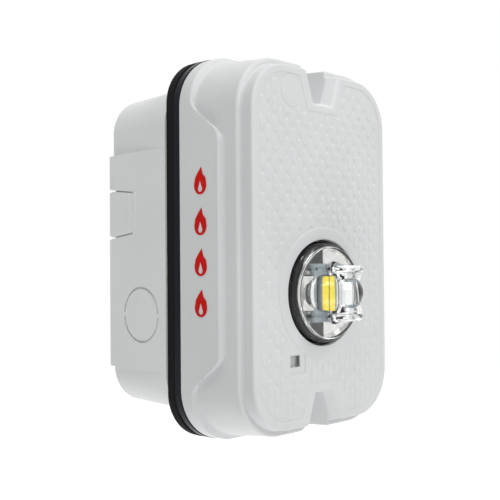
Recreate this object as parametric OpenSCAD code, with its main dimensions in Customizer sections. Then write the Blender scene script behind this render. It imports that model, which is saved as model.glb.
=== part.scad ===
// Outdoor wall horn strobe on a weatherproof back box.
// X is to the right, Z is up and the front faces -Y. The wall plane is y = 0.
// Depths below are counted from the front plate towards the wall.

/* [Front cover] */
// Width of the raised front plate
plate_w = 76.2; // [60:0.1:95]
// Height of the raised front plate
plate_h = 133.2; // [110:0.1:160]
// Corner radius of the front plate
plate_r = 17.9; // [8:0.1:25]
// Depth from the front plate to the shoulder behind it
shoulder_d = 4.8; // [3.5:0.1:6]
// Extra half width of the shoulder around the plate
shoulder_out = 2.7; // [1.5:0.1:4]
// Depth of the front cover, plate to rear edge
cover_d = 33; // [32:0.1:38]
// Wall thickness of the front cover
wall = 2.4; // [1.6:0.1:3]

/* [Back box] */
// Width of the back box
box_w = 89.4; // [80:0.1:105]
// Height of the back box
box_h = 127; // [120:0.1:150]
// Corner radius of the back box
box_r = 16; // [8:0.1:20]
// Depth of the back box
box_d = 36; // [30:0.1:50]
// Wall thickness of the back box
box_wall = 3; // [2:0.1:4]
// Height of the centre of the side knockouts
knock_z = -25.9; // [-40:0.1:-20]
// Diameter of the side knockouts and the rear cable entry (half-inch trade size)
knock_dia = 22.2; // [18:0.1:28.5]
// Spacing of the two wall screws (single-gang box)
wall_screw_pitch = 83.3; // [70:0.1:95]

/* [Gasket and mounting plate] */
// Thickness of the mounting plate
mount_t = 3.4; // [2.5:0.1:5]
// Thickness of the gasket
gasket_t = 4.6; // [3:0.1:6]

/* [Strobe] */
// Height of the strobe centre above the middle of the plate
lens_z = -17.4; // [-22:0.1:-12]
// Radius of the lens opening in the plate
lens_r = 20.2; // [18:0.1:21]
// How far the lens rim stands in front of the plate
lens_out = 3.6; // [2:0.1:5]
// Radius of the clear centre dome, seen from above
dome_r = 12.5; // [11:0.1:14]

/* [Horn] */
// Height of the horn centre above the middle of the plate
horn_z = 27.6; // [27:0.1:30]
// Outer radius of the horn chamber
horn_r = 19.2; // [15:0.1:19.5]

/* [Moving parts] */
// Radius of the candela dial
dial_r = 12.7; // [11:0.1:12.9]
// Length of thread on each captive screw
screw_travel = 7; // [4:0.1:8]

/* [Hidden] */
e = 0.01;
total_d = cover_d + mount_t + gasket_t + box_d;
hw = plate_w / 2;
hh = plate_h / 2;
// levels, counted from the front plate
d_lip = cover_d - 6.5;
d_mount = cover_d;
d_gasket = cover_d + mount_t;
d_box = cover_d + mount_t + gasket_t;
d_wall = total_d;
// half sizes of the cover's outlines
sh_w = hw + shoulder_out;
sh_h = hh + shoulder_out;
sh_r = plate_r + shoulder_out;
draft = 2.1;
sk_w = hw + shoulder_out + 3.4;
sk_h = sh_h + 4.8;
sk_r = plate_r + 3.3;
// centre of the corner rounds of plate, shoulder and body
cc_x = hw - plate_r;
cc_z = hh - plate_r;
pad_x = sk_w - 0.3;
// screw places
ch_z = hh - 4.1;
ps_x = box_w / 2 - 8.7;
ps_z = box_h / 2 - 9;
rc_x = hw - 3.6;
dial_x = -21.5;
dial_z = lens_z - 32.6;
tone_x = 20;
tone_z = -32;
blade_xs = [-18, -6, 6, 18];

// ---- helpers -------------------------------------------------------------

// a flat shape drawn in X and Z, pushed from depth d0 to depth d1
module deep(d0, d1) {
    translate([0, d1 - total_d, 0]) rotate([90, 0, 0]) linear_extrude(d1 - d0) children();
}

// rounded rectangle from its half sizes
module rrect(w, h, r) {
    square([2 * w, 2 * (h - r)], center = true);
    square([2 * (w - r), 2 * h], center = true);
    for (sx = [-1, 1], sz = [-1, 1])
        translate([sx * (w - r), sz * (h - r)]) circle(r, $fn = 96);
}

module slab(w, h, r, d0, d1) {
    deep(d0, d1) rrect(w, h, r);
}

// round bar along Y at (x, z), from depth d0 to depth d1
module bar(x, z, r, d0, d1) {
    translate([x, d1 - total_d, z]) rotate([90, 0, 0]) cylinder(r = r, h = d1 - d0, $fn = 64);
}

// cone along Y at (x, z): radius r0 at depth d0, r1 at depth d1
module cone(x, z, r0, r1, d0, d1) {
    translate([x, d1 - total_d, z]) rotate([90, 0, 0]) cylinder(r1 = r1, r2 = r0, h = d1 - d0, $fn = 64);
}

// box from corner to corner, Y given as depth
module block(x0, x1, d0, d1, z0, z1) {
    translate([x0, d0 - total_d, z0]) cube([x1 - x0, d1 - d0, z1 - z0]);
}

// ring turned around the strobe's axis; points are [radius, depth]
module turned(x, z, pts) {
    translate([x, -total_d, z]) rotate([-90, 0, 0]) rotate_extrude($fn = 128) polygon(pts);
}

// trapezoid notch that opens outwards, on the side s = 1 (top) or -1 (bottom)
module notch2d(inner, outer, z0, z1, s) {
    polygon([[-inner, s * z0], [inner, s * z0], [outer, s * z1], [-outer, s * z1]]);
}

// ---- back box ------------------------------------------------------------

module box_side_trim(s) {
    // the side walls draw in towards the wall above and below the middle band
    for (zz = [[38.5, box_h], [-box_h, -48]])
        translate([0, 0, zz[0]])
            linear_extrude(zz[1] - zz[0])
                polygon([[s * box_w / 2, -box_d], [s * (box_w / 2 + 2), -box_d],
                    [s * (box_w / 2 + 2), e], [s * (box_w / 2 - 1.4), e]]);
    // the corner rounds lean in with them
    for (t = [-1, 1]) difference() {
        block(min(s * (box_w / 2 - box_r - 0.7), s * (box_w / 2 + 2)),
            max(s * (box_w / 2 - box_r - 0.7), s * (box_w / 2 + 2)), d_box - 1, d_wall + 1,
            min(t * (box_h / 2 - box_r), t * (box_h / 2 + 1)), max(t * (box_h / 2 - box_r), t * (box_h / 2 + 1)));
        translate([s * (box_w / 2 - box_r), -box_d, t * (box_h / 2 - box_r)])
            rotate([0, 0, s * atan(1.4 / box_d)]) rotate([90, 0, 0])
                cylinder(r = box_r + 0.02, h = 4 * box_d, center = true, $fn = 96);
    }
}

// a cut in the side wall, with its outline in depth from the wall and height
module side_cut(s, deep, outline) {
    translate([s > 0 ? box_w / 2 - deep : -box_w / 2 - 2, 0, 0])
        rotate([90, 0, 90]) linear_extrude(deep + 2) polygon(outline);
}

module back_box() {
    hwb = box_w / 2;
    hhb = box_h / 2;
    kd = d_box + 15.5;
    color([0.83, 0.84, 0.85]) difference() {
        union() {
            difference() {
                slab(hwb, hhb, box_r, d_box, d_wall);
                slab(hwb - box_wall, hhb - box_wall, box_r - box_wall, d_box - 1, d_wall - box_wall);
            }
            // corner posts for the mounting plate's screws
            for (sx = [-1, 1], sz = [-1, 1]) {
                bar(sx * ps_x, sz * ps_z, 4.3, d_box, d_wall - 1);
                block(min(sx * ps_x, sx * (hwb - 1.5)), max(sx * ps_x, sx * (hwb - 1.5)),
                    d_box, d_wall - 1, sz * ps_z - 1.2, sz * ps_z + 1.2);
            }
            // side pads that stand a little proud of the wall
            for (s = [-1, 1]) {
                translate([0, 0, -48]) linear_extrude(86.5)
                    polygon([[s * (hwb - 0.5), -box_d + 3], [s * hwb, -box_d + 3],
                        [s * (hwb + 0.7), 0], [s * (hwb - 0.5), 0]]);
                // two beads across the root of the spring tab
                for (d = [60.1, 63.7])
                    translate([s * (hwb - 0.05), d - total_d, 5.8]) cylinder(r = 0.75, h = 17.5, $fn = 32);
            }
        }
        for (s = [-1, 1]) {
            box_side_trim(s);
            // half-inch knockout: a shallow groove broken by two ties
            difference() {
                translate([s * (hwb - 0.6), kd - total_d, knock_z]) rotate([0, 90 * s, 0])
                    difference() {
                        cylinder(d = knock_dia, h = 4, $fn = 96);
                        translate([0, 0, -1]) cylinder(d = knock_dia - 1.9, h = 6, $fn = 96);
                    }
                translate([s * hwb, kd - total_d, knock_z]) cube([6, knock_dia + 4, 1.4], center = true);
            }
            // spring tab at the rear edge: a notch and a tapering groove above and below it
            for (t = [-1, 1]) {
                z = 14.55 + t * 9.65;
                side_cut(s, box_wall + 0.5, [[-2.3, z - 0.25], [1, z - 1], [1, z + 1], [-2.3, z + 0.25]]);
                side_cut(s, 0.7, [[-2.2, z - 0.3], [-2.2, z + 0.3],
                    [-15.6, z - t * 1.5 + 0.3], [-15.6, z - t * 1.5 - 0.3]]);
            }
        }
        // screw pockets for the inserts
        for (sx = [-1, 1], sz = [-1, 1])
            bar(sx * ps_x, sz * ps_z, 2.9, d_box - 1, d_box + 9);
        for (sx = [-1, 1], sz = [-1, 1])
            bar(sx * ps_x, sz * ps_z, 1.95, d_box + 8, d_box + 14);
        // rear cable entry and wall screws
        bar(0, 0, knock_dia / 2, d_wall - box_wall - 1, d_wall + 1);
        for (s = [-1, 1])
            bar(0, s * wall_screw_pitch / 2, 2.4, d_wall - box_wall - 1, d_wall + 1);
        // seat of the ground screw
        bar(-24, -34, 1.5, d_wall - box_wall - 1, d_wall - 1);
    }
}

module box_inserts() {
    color([0.72, 0.56, 0.28]) for (sx = [-1, 1], sz = [-1, 1]) difference() {
        bar(sx * ps_x, sz * ps_z, 2.9, d_box, d_box + 9);
        bar(sx * ps_x, sz * ps_z, 1.75, d_box - 1, d_box + 10);
    }
}

module ground_bracket() {
    y = d_wall - box_wall;
    color([0.75, 0.75, 0.72]) difference() {
        union() {
            block(-29, -19, y - 1, y, -40, -14);
            block(-29, -19, y - 9, y - 1, -15, -14);
        }
        bar(-24, -34, 2.1, y - 3, y + 1);
        translate([-24, y - 5.5 - total_d, -16]) cylinder(r = 1.8, h = 4, $fn = 48);
    }
}

module ground_screw() {
    y = d_wall - box_wall;
    color([0.2, 0.5, 0.25]) difference() {
        union() {
            bar(-24, -34, 3.6, y - 3.4, y - 1);
            bar(-24, -34, 1.45, y - 1, y + 1.6);
        }
        block(-27, -21, y - 4, y - 2.6, -34.4, -33.6);
    }
}

// ---- gasket and mounting plate ---------------------------------------------

module gasket() {
    color([0.11, 0.11, 0.11]) difference() {
        slab(sk_w - 0.1, sk_h - 0.6, sk_r - 2.7, d_gasket, d_box);
        slab(box_w / 2 - 6, ps_z - 5.5, 4, d_gasket - 1, d_box + 1);
        slab(ps_x - 5.5, box_h / 2 - 5, 4, d_gasket - 1, d_box + 1);
        for (sx = [-1, 1], sz = [-1, 1])
            bar(sx * ps_x, sz * ps_z, 2.1, d_gasket - 1, d_box + 1);
    }
}

module mounting_plate() {
    color([0.07, 0.07, 0.08]) difference() {
        union() {
            slab(sk_w - 0.1, sk_h - 0.4, sk_r - 1.2, d_mount, d_gasket);
            // tray that holds the terminal block
            slab(25.6, 16.6, 3, d_mount + 1, d_mount + 16.6);
            // posts for the two captive screws
            for (s = [-1, 1]) bar(0, s * ch_z, 4.5, d_lip + 0.6, d_mount + 1);
            // keying ribs that centre the front assembly
            for (s = [-1, 1]) block(s * 33 - 1, s * 33 + 1, d_mount - 1.6, d_mount + 1, -22, 22);
        }
        slab(24, 15, 1.6, d_mount - 1, d_mount + 15);
        // way through for the field wires, below the tray
        slab(13, 7, 2, d_mount + 14, d_mount + 18);
        translate([0, 0, -34]) slab(16, 9, 3, d_mount - 2, d_gasket + 1);
        for (sx = [-1, 1], sz = [-1, 1])
            bar(sx * ps_x, sz * ps_z, 2.1, d_mount - 2, d_gasket + 1);
        for (s = [-1, 1]) bar(0, s * ch_z, 3, d_lip, d_gasket - 1);
    }
}

module plate_screws() {
    color([0.75, 0.76, 0.78]) for (sx = [-1, 1], sz = [-1, 1]) difference() {
        union() {
            bar(sx * ps_x, sz * ps_z, 3.2, d_mount - 1.9, d_mount);
            bar(sx * ps_x, sz * ps_z, 1.7, d_mount, d_box + 11);
        }
        block(sx * ps_x - 2, sx * ps_x + 2, d_mount - 3, d_mount - 0.9, sz * ps_z - 0.4, sz * ps_z + 0.4);
        block(sx * ps_x - 0.4, sx * ps_x + 0.4, d_mount - 3, d_mount - 0.9, sz * ps_z - 2, sz * ps_z + 2);
    }
}

// brass nuts pressed in the mounting plate's posts
module screw_nuts() {
    color([0.72, 0.56, 0.28]) for (s = [-1, 1]) difference() {
        bar(0, s * ch_z, 3, d_lip + 0.6, d_gasket - 1);
        bar(0, s * ch_z, 1.8, d_lip, d_gasket);
    }
}

module terminal_block() {
    y = d_mount + 4;
    color([0.16, 0.22, 0.3]) difference() {
        slab(23.6, 12, 1.2, y, d_mount + 15);
        for (x = blade_xs) {
            block(x - 3.4, x + 3.4, y - 1, y + 9, -5, 3);
            block(x - 3.4, x + 3.4, y - 1, y + 9, 4, 11);
            block(x - 2.4, x + 2.4, y + 2, y + 9, 2, 5);
            // wire entry from the top edge
            block(x - 2, x + 2, y + 3, y + 8, 9, 14);
        }
    }
}

module terminal_jaws() {
    y = d_mount + 5;
    color([0.76, 0.6, 0.3]) for (x = blade_xs) {
        // two leaves either side of the blade, joined at the back to the wire clamp
        block(x - 1.9, x - 0.7, y, y + 8, -4, 2);
        block(x + 0.7, x + 1.9, y, y + 8, -4, 2);
        difference() {
            block(x - 1.9, x + 1.9, y + 7, y + 8, -4, 10.5);
            bar(x, 7.5, 1.35, y + 4, y + 9);
        }
    }
}

module terminal_screws() {
    y = d_mount + 5;
    color([0.78, 0.78, 0.76]) for (x = blade_xs) difference() {
        union() {
            bar(x, 7.5, 2.6, y - 0.6, y + 1.6);
            bar(x, 7.5, 1.3, y + 1.6, y + 8);
        }
        block(x - 3, x + 3, y - 2, y + 0.5, 7.1, 7.9);
    }
}

// ---- front housing -----------------------------------------------------------

module channel(s) {
    // flared mouth, then a straight slot down to the screw seat
    deep(-1, 3.6) notch2d(5.6, 10, hh - 12.4, hh + 0.4, s);
    deep(3.5, d_lip - 2.4) notch2d(4.2, 7.4, hh - 10.4, sk_h + 6, s);
    deep(3.5, 6.6) notch2d(5.2, 9.2, hh - 11.4, sk_h + 6, s);
}

module channel_shell(s) {
    intersection() {
        deep(1, d_lip) notch2d(6.6, 11.6, hh - 14.4, sk_h + 2, s);
        union() {
            slab(hw, hh, plate_r, 0, shoulder_d + 1);
            slab(sh_w - 0.1, sh_h - 0.1, sh_r, shoulder_d + 0.6, d_lip + 1);
        }
    }
}

module housing_body() {
    // straight skirt with a proud pad along each side
    slab(sk_w, sk_h, sk_r, d_lip + 1.2, cover_d);
    slab(sk_w - 0.8, sk_h - 0.8, sk_r - 0.8, d_lip, cover_d);
    intersection() {
        slab(pad_x, sk_h - 1, sk_r - 1, 10.5, cover_d);
        translate([-60, 0, 0]) rotate([90, 0, 90]) linear_extrude(120)
            polygon([[cover_d - total_d, -52], [d_lip - total_d, -50.5], [12 - total_d, -39.5],
                [12 - total_d, 39.5], [d_lip - total_d, 50.5], [cover_d - total_d, 52]]);
    }
    // the drafted body between shoulder and skirt
    drafted(sh_r - 0.8, sh_r, shoulder_d, shoulder_d + 0.8);
    drafted(sh_r, sh_r + draft, shoulder_d + 0.8, d_lip);
    // pedestal and plate
    slab(hw - 0.8, hh - 0.8, plate_r - 0.8, 0, 1);
    slab(hw, hh, plate_r, 0.6, shoulder_d + 1);
}

// rounded block whose sides all lean by the same amount: corner radius r0 at depth d0, r1 at d1
module drafted(r0, r1, d0, d1) {
    translate([0, -total_d, -cc_z]) linear_extrude(2 * cc_z)
        polygon([[-cc_x - r0, d0], [cc_x + r0, d0], [cc_x + r1, d1], [-cc_x - r1, d1]]);
    translate([-cc_x, -total_d, 0]) rotate([90, 0, 90]) linear_extrude(2 * cc_x)
        polygon([[d0, -cc_z - r0], [d0, cc_z + r0], [d1, cc_z + r1], [d1, -cc_z - r1]]);
    for (sx = [-1, 1], sz = [-1, 1]) cone(sx * cc_x, sz * cc_z, r0, r1, d0, d1);
}

module front_housing() {
    color([0.85, 0.86, 0.88]) difference() {
        union() {
            difference() {
                housing_body();
                // hollow inside
                slab(hw - wall, hh - wall, plate_r - wall, wall, shoulder_d + 3.4);
                slab(sh_w - wall, sh_h - wall, sh_r - wall, shoulder_d + wall, d_lip);
                slab(sk_w - 3.2, sk_h - 3.2, sk_r - 3, d_lip - 0.5, cover_d + 1);
            }
            for (s = [-1, 1]) channel_shell(s);
            // posts for the rear cover and for the circuit board
            for (sx = [-1, 1], z = [-30, 42]) bar(sx * rc_x, z, 3.3, wall - 1, d_lip + 2);
            for (sx = [-1, 1]) bar(sx * 26.5, 6, 2.8, wall - 1, 20);
            // spindle of the candela dial
            bar(dial_x, dial_z, 1.2, wall - 1, wall + 2.6);
            // ledge that holds the little window
            block(-20.6, -12.3, wall - 1, wall + 0.4, lens_z - 28.4, lens_z - 21.4);
        }
        for (s = [-1, 1]) {
            channel(s);
            bar(0, s * ch_z, 2.1, d_lip - 4, d_lip + 1);
        }
        // strobe opening
        bar(0, lens_z, lens_r, -1, wall + 1);
        // shallow field inside the plate's flat border, left whole around the strobe
        plate_field();
        // window opening and its wider ledge
        block(-19.2, -13.7, -1, wall + 1, lens_z - 27, lens_z - 22.5);
        block(-19.2, -11.1, -1, 0.5, lens_z - 29.5, lens_z - 22.5);
        // screw holes
        for (sx = [-1, 1], z = [-30, 42]) bar(sx * rc_x, z, 1.2, d_lip - 8, d_lip + 3);
        for (sx = [-1, 1]) bar(sx * 26.5, 6, 1.1, 12, 21);
        // sound slots in the end wall of the upper screw channel
        for (x = [-3.1, -1, 1.1])
            block(x, x + 1.2, 9, 15, hh - 15.5, hh - 9.6);
        // weep holes in the bottom of the skirt
        for (x = [-26, 26]) translate([x, cover_d - 3 - total_d, -sk_h - 1]) cylinder(r = 1.2, h = 6, $fn = 32);
    }
}

module plate_field() {
    difference() {
        slab(hw - 2.9, hh - 2.9, plate_r - 2.6, -1, 0.25);
        bar(0, lens_z, lens_r + 4.7, -2, 1);
        bar(-17.2, hh - 9, 5.8, -2, 1);
        for (s = [-1, 1]) deep(-2, 1) notch2d(8, 13, hh - 15, hh + 2, s);
    }
}

// flame-shaped marks printed down each side
module flame() {
    difference() {
        union() {
            translate([0, -1.6]) circle(3.3, $fn = 48);
            polygon([[-3.3, -1.4], [-2.9, 0.9], [-1.4, 2.4], [-0.6, 5], [1.2, 3.1], [2.7, 1.2], [3.3, -1.4]]);
        }
        translate([0, -2.9]) circle(1.2, $fn = 32);
        polygon([[-1.2, -2.8], [0.1, 0.4], [1.2, -2.8]]);
    }
}

module fire_marks() {
    color([0.72, 0.09, 0.08]) for (s = [-1, 1], i = [0:3])
        translate([s > 0 ? pad_x : -pad_x - 0.2, 21.3 - total_d, 24.1 - 14.87 * i])
            rotate([90, 0, 90]) linear_extrude(0.2) flame();
}

// ---- strobe --------------------------------------------------------------------

module lens_dome(r, c, z1) {
    // barrel turned about an upright axis; c is its half height if it were not cut off
    n = 12;
    translate([0, -3 - total_d, lens_z]) rotate_extrude($fn = 96)
        polygon(concat([[0, -z1]], [for (i = [-n:n]) [r * sqrt(1 - pow(i * z1 / n / c, 2)), i * z1 / n]],
            [[0, z1]]));
}

// front part of a disc that stands on the dome's upright axis
module visor(s, r, z0, z1, front) {
    intersection() {
        translate([0, -3 - total_d, lens_z + min(s * z0, s * z1)]) cylinder(r = r, h = z1 - z0, $fn = 96);
        block(-20, 20, -30, front, lens_z - 12, lens_z + 12);
    }
}

module lens() {
    color([0.85, 0.9, 0.92, 0.35]) difference() {
        union() {
            turned(0, lens_z, [[0, -lens_out], [lens_r - 3.1, -lens_out], [lens_r - 2.4, -lens_out + 0.3],
                [lens_r - 2.0, -lens_out + 1], [lens_r - 0.4, wall + 0.8], [lens_r + 2.8, wall + 0.8],
                [lens_r + 2.8, wall + 2.4], [0, wall + 2.4]]);
            intersection() {
                union() {
                    lens_dome(dome_r, 8.2, 6.5);
                    // clear visors over and under the front of the dome, each on a short bridge
                    for (s = [-1, 1]) {
                        visor(s, dome_r - 0.3, 7.4, 10.3, -11);
                        visor(s, dome_r - 0.9, 4.2, 7.6, -11.6);
                        bar(0, lens_z + s * 9.2, 2.7, -6.4, -3);
                    }
                    block(-7.4, 7.4, -lens_out - 2.4, 0, lens_z - 9, lens_z + 9);
                }
                block(-30, 30, -30, 1, lens_z - 20, lens_z + 20);
            }
        }
        // hollow behind the face
        turned(0, lens_z, [[0, -lens_out + 1.5], [lens_r - 3.6, -lens_out + 1.5], [lens_r - 2.1, wall + 3],
            [0, wall + 3]]);
        intersection() {
            lens_dome(dome_r - 1.7, 7, 5.2);
            block(-30, 30, -30, 1, lens_z - 20, lens_z + 20);
        }
        block(-6.2, 6.2, -lens_out - 1.2, 1, lens_z - 11.4, lens_z + 11.4);
    }
}

module lens_seal() {
    color([0.1, 0.1, 0.1]) turned(0, lens_z, [[lens_r + 0.1, wall], [lens_r + 2.2, wall],
        [lens_r + 2.2, wall + 0.8], [lens_r + 0.1, wall + 0.8]]);
}

module shroud() {
    color([0.05, 0.05, 0.06]) turned(0, lens_z, [[lens_r - 4.6, -1.2], [lens_r - 3.6, -1.2],
        [lens_r - 3.1, wall + 2.5], [lens_r + 2.6, wall + 2.5], [lens_r + 2.6, wall + 4], [lens_r - 4.6, wall + 4]]);
}

module reflector() {
    color([0.82, 0.82, 0.8]) difference() {
        turned(0, lens_z, [[0, 8.8], [0, 7.4], [7, 6.6], [11, 4.4], [lens_r - 6, 0.8], [lens_r - 5.4, -0.8],
            [lens_r - 4.7, -0.8], [lens_r - 4.7, wall + 4], [13, wall + 4.4], [9, 8.8]]);
        block(-6.2, 6.2, -3, 12, lens_z - 11.2, lens_z + 11.2);
    }
}

module optic_frame() {
    color([0.68, 0.76, 0.8]) difference() {
        union() {
            block(-8.6, 8.6, -1.6, -0.2, lens_z - 10.9, lens_z + 10.9);
            for (s = [-1, 1]) block(-5.8, 5.8, -0.4, 8.8, lens_z + s * 9.6 - 1, lens_z + s * 9.6 + 1);
        }
        block(-5.4, 5.4, -3, 10, lens_z - 6.9, lens_z + 6.9);
        for (s = [-1, 1]) bar(0, lens_z + s * 9.1, 0.9, -3, 4);
        for (s = [-1, 1]) bar(s * 7.2, lens_z + 8.8, 0.8, -3, 4);
    }
}

module frame_screws() {
    color([0.8, 0.8, 0.8]) for (s = [-1, 1]) difference() {
        union() {
            bar(0, lens_z + s * 9.1, 1.9, -2.8, -1.6);
            bar(0, lens_z + s * 9.1, 0.85, -1.6, 3.4);
        }
        block(-0.3, 0.3, -4, -2.2, lens_z + s * 9.1 - 1.2, lens_z + s * 9.1 + 1.2);
        block(-1.2, 1.2, -4, -2.2, lens_z + s * 9.1 - 0.3, lens_z + s * 9.1 + 0.3);
    }
}

module led_emitters() {
    color([0.95, 0.83, 0.12]) for (s = [-1, 1])
        block(s * 2.25 - 1.95, s * 2.25 + 1.95, -2.6, -1, lens_z - 5.5, lens_z + 5.5);
}

module led_board() {
    color([0.88, 0.9, 0.9]) block(-5.1, 5.1, -1, 0, lens_z - 6.7, lens_z + 6.7);
}

module heat_spreader() {
    color([0.7, 0.72, 0.74]) {
        block(-5.1, 5.1, 0, 9, lens_z - 6.7, lens_z + 6.7);
        block(-9, 9, 9, 10.6, lens_z - 12, lens_z + 12);
        for (s = [-1, 1]) bar(s * 6, lens_z + s * 9, 2, 10.6, 20);
    }
}

module led_wires() {
    // two insulated leads from the board's edge, through the spreader's notch to the main board
    color([0.7, 0.08, 0.06]) for (i = [0, 1]) {
        z = lens_z - 1.4 - 2.8 * i;
        translate([-11.5, 0, z]) deep_bar(9.3, 20, 0.7);
        translate([-11.5, 9.3 - total_d, z]) rotate([0, 90, 0]) cylinder(r = 0.7, h = 2.5, $fn = 32);
        translate([-11.5, 9.3 - total_d, z]) sphere(r = 0.7, $fn = 32);
    }
}

module deep_bar(d0, d1, r) {
    translate([0, d1 - total_d, 0]) rotate([90, 0, 0]) cylinder(r = r, h = d1 - d0, $fn = 32);
}

// ---- electronics -----------------------------------------------------------------

module main_board() {
    color([0.1, 0.34, 0.2]) difference() {
        deep(20, 21.6) translate([0, 3]) rrect(30.4, 46, 2);
        for (sx = [-1, 1]) bar(sx * 26.5, 6, 1.5, 19, 23);
        // notch for the candela dial's shaft
        block(-25.4, -17.6, 19, 23, -44, -38);
    }
}

module board_screws() {
    color([0.76, 0.77, 0.79]) for (sx = [-1, 1]) difference() {
        union() {
            bar(sx * 26.5, 6, 2.6, 21.6, 23.4);
            bar(sx * 26.5, 6, 1.05, 13, 21.6);
        }
        block(sx * 26.5 - 1.7, sx * 26.5 + 1.7, 22.6, 24, 5.7, 6.3);
        block(sx * 26.5 - 0.3, sx * 26.5 + 0.3, 22.6, 24, 4.3, 7.7);
    }
}

module capacitors() {
    color([0.13, 0.14, 0.2]) {
        for (sx = [-1, 1]) turned(sx * 24.6, -14, [[0, 9], [4.4, 9], [5, 9.6], [5, 17.4], [4.6, 17.9], [5, 18.4],
            [5, 20], [0, 20]]);
        turned(24.6, -27, [[0, 11], [3.5, 11], [4, 11.5], [4, 17.6], [3.6, 18], [4, 18.4], [4, 20], [0, 20]]);
    }
}

module choke() {
    color([0.45, 0.27, 0.12]) turned(0, -36.5, [[0, 11], [6.6, 11], [6.6, 12.4], [5.6, 12.8], [5.6, 18.2],
        [6.6, 18.6], [6.6, 20], [0, 20]]);
}

module ic_chips() {
    color([0.08, 0.08, 0.09]) {
        block(-15, -5, 21.6, 23.2, 16, 26);
        block(6, 14, 21.6, 22.9, 20, 26);
        block(-4, 3, 21.6, 23.6, -30, -22);
        block(-24, -18, 21.6, 23, -22, -14);
    }
}

module contact_blades() {
    color([0.78, 0.66, 0.4]) for (x = blade_xs) {
        block(x - 0.4, x + 0.4, 22.6, d_mount + 11, -3.4, 1.4);
        block(x - 1.6, x + 1.6, 21.6, 22.6, -3.6, 1.6);
    }
}

module rear_cover() {
    color([0.12, 0.12, 0.13]) difference() {
        slab(sk_w - 3.5, sk_h - 3.5, sk_r - 3.3, d_lip + 2, d_lip + 3.8);
        for (s = [-1, 1]) bar(0, s * ch_z, 5.1, d_lip, d_lip + 6);
        for (x = blade_xs) block(x - 1.2, x + 1.2, d_lip, d_lip + 6, -4.4, 2.4);
        bar(dial_x, dial_z, 2.5, d_lip, d_lip + 6);
        bar(tone_x, tone_z, 4.2, d_lip, d_lip + 6);
        for (sx = [-1, 1], z = [-30, 42]) bar(sx * rc_x, z, 1.5, d_lip, d_lip + 6);
        // clearance for the keying ribs and the heads of the plate screws
        for (sx = [-1, 1], sz = [-1, 1]) bar(sx * ps_x, sz * ps_z, 3.6, d_lip + 2.9, d_lip + 6);
    }
}

module cover_screws() {
    color([0.76, 0.77, 0.79]) for (sx = [-1, 1], z = [-30, 42]) difference() {
        union() {
            bar(sx * rc_x, z, 2.5, d_lip + 3.8, d_lip + 5.4);
            bar(sx * rc_x, z, 1.15, d_lip - 6, d_lip + 3.8);
        }
        block(sx * rc_x - 1.7, sx * rc_x + 1.7, d_lip + 4.7, d_lip + 6, z - 0.3, z + 0.3);
        block(sx * rc_x - 0.3, sx * rc_x + 0.3, d_lip + 4.7, d_lip + 6, z - 1.7, z + 1.7);
    }
}

// ---- horn ------------------------------------------------------------------------

module horn_chamber() {
    color([0.1, 0.1, 0.11]) difference() {
        union() {
            bar(0, horn_z, horn_r, wall + 2.4, 17.4);
            // sound duct up to the screw channel's end wall
            block(-6, 6, 7.6, 16.6, horn_z + horn_r - 6, hh - 14.4);
            for (a = [45, 135, 225, 315])
                bar(13 * cos(a), horn_z + 13 * sin(a), 1.8, 17.4, 20);
        }
        bar(0, horn_z, horn_r - 1.8, wall + 1, 9);
        bar(0, horn_z, horn_r - 3.4, wall + 1, 15.6);
        block(-4.6, 4.6, 9, 15.2, horn_z + horn_r - 8, hh - 14);
    }
}

module piezo_disc() {
    color([0.8, 0.66, 0.32]) {
        bar(0, horn_z, horn_r - 1.9, 8.6, 9);
        bar(0, horn_z, horn_r - 7, 8.2, 8.6);
    }
}

module horn_ring() {
    color([0.2, 0.2, 0.22]) difference() {
        bar(0, horn_z, horn_r - 1.9, wall + 3, 8.6);
        bar(0, horn_z, horn_r - 4.2, wall + 1, 10);
    }
}

// ---- controls ----------------------------------------------------------------------

module tone_switch() {
    color([0.1, 0.18, 0.42]) difference() {
        block(tone_x - 5, tone_x + 5, 21.6, 26, tone_z - 5, tone_z + 5);
        bar(tone_x, tone_z, 2.06, 22.6, 27);
    }
}

module tone_dial() {
    color([0.9, 0.9, 0.88]) difference() {
        union() {
            bar(tone_x, tone_z, 2, 22.8, 26.2);
            bar(tone_x, tone_z, 3.7, 26.2, 30);
        }
        block(tone_x - 0.6, tone_x + 0.6, 28.8, 31, tone_z - 2.8, tone_z + 2.8);
        block(tone_x - 0.9, tone_x + 0.9, 28.8, 31, tone_z + 1.6, tone_z + 2.9);
    }
}

module candela_dial() {
    color([0.92, 0.92, 0.9]) difference() {
        union() {
            bar(dial_x, dial_z, dial_r, wall + 0.9, wall + 2);
            bar(dial_x, dial_z, 3.8, wall + 2, wall + 4);
            bar(dial_x, dial_z, 2.42, wall + 4, d_lip + 3.4);
            // eight raised figures round the rim, one for each light output
            for (i = [0:7]) translate([dial_x, 0, dial_z]) rotate([0, 45 * i + 28.5, 0]) dial_mark(i);
        }
        bar(dial_x, dial_z, 1.28, wall, wall + 3);
        block(dial_x - 1.9, dial_x + 1.9, d_lip + 2.4, d_lip + 5, dial_z - 0.4, dial_z + 0.4);
        // timing notch that shows which way the dial is turned
        bar(dial_x, dial_z - dial_r + 1.8, 0.7, wall, wall + 3);
    }
}

// one raised tally group per setting: i + 1 strokes in two rows
module dial_mark(i) {
    for (k = [0:i])
        translate([-2 + (k % 4) * 1.3, wall + 0.75 - total_d, 8.3 + (k > 3 ? -1.5 : 0.3)])
            cube([0.55, 0.25, 1.2]);
}

module candela_window() {
    color([0.8, 0.85, 0.88, 0.35]) block(-19.2, -13.7, 1.3, 2.2, lens_z - 27, lens_z - 22.5);
}

// ---- captive screws ------------------------------------------------------------------

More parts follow.
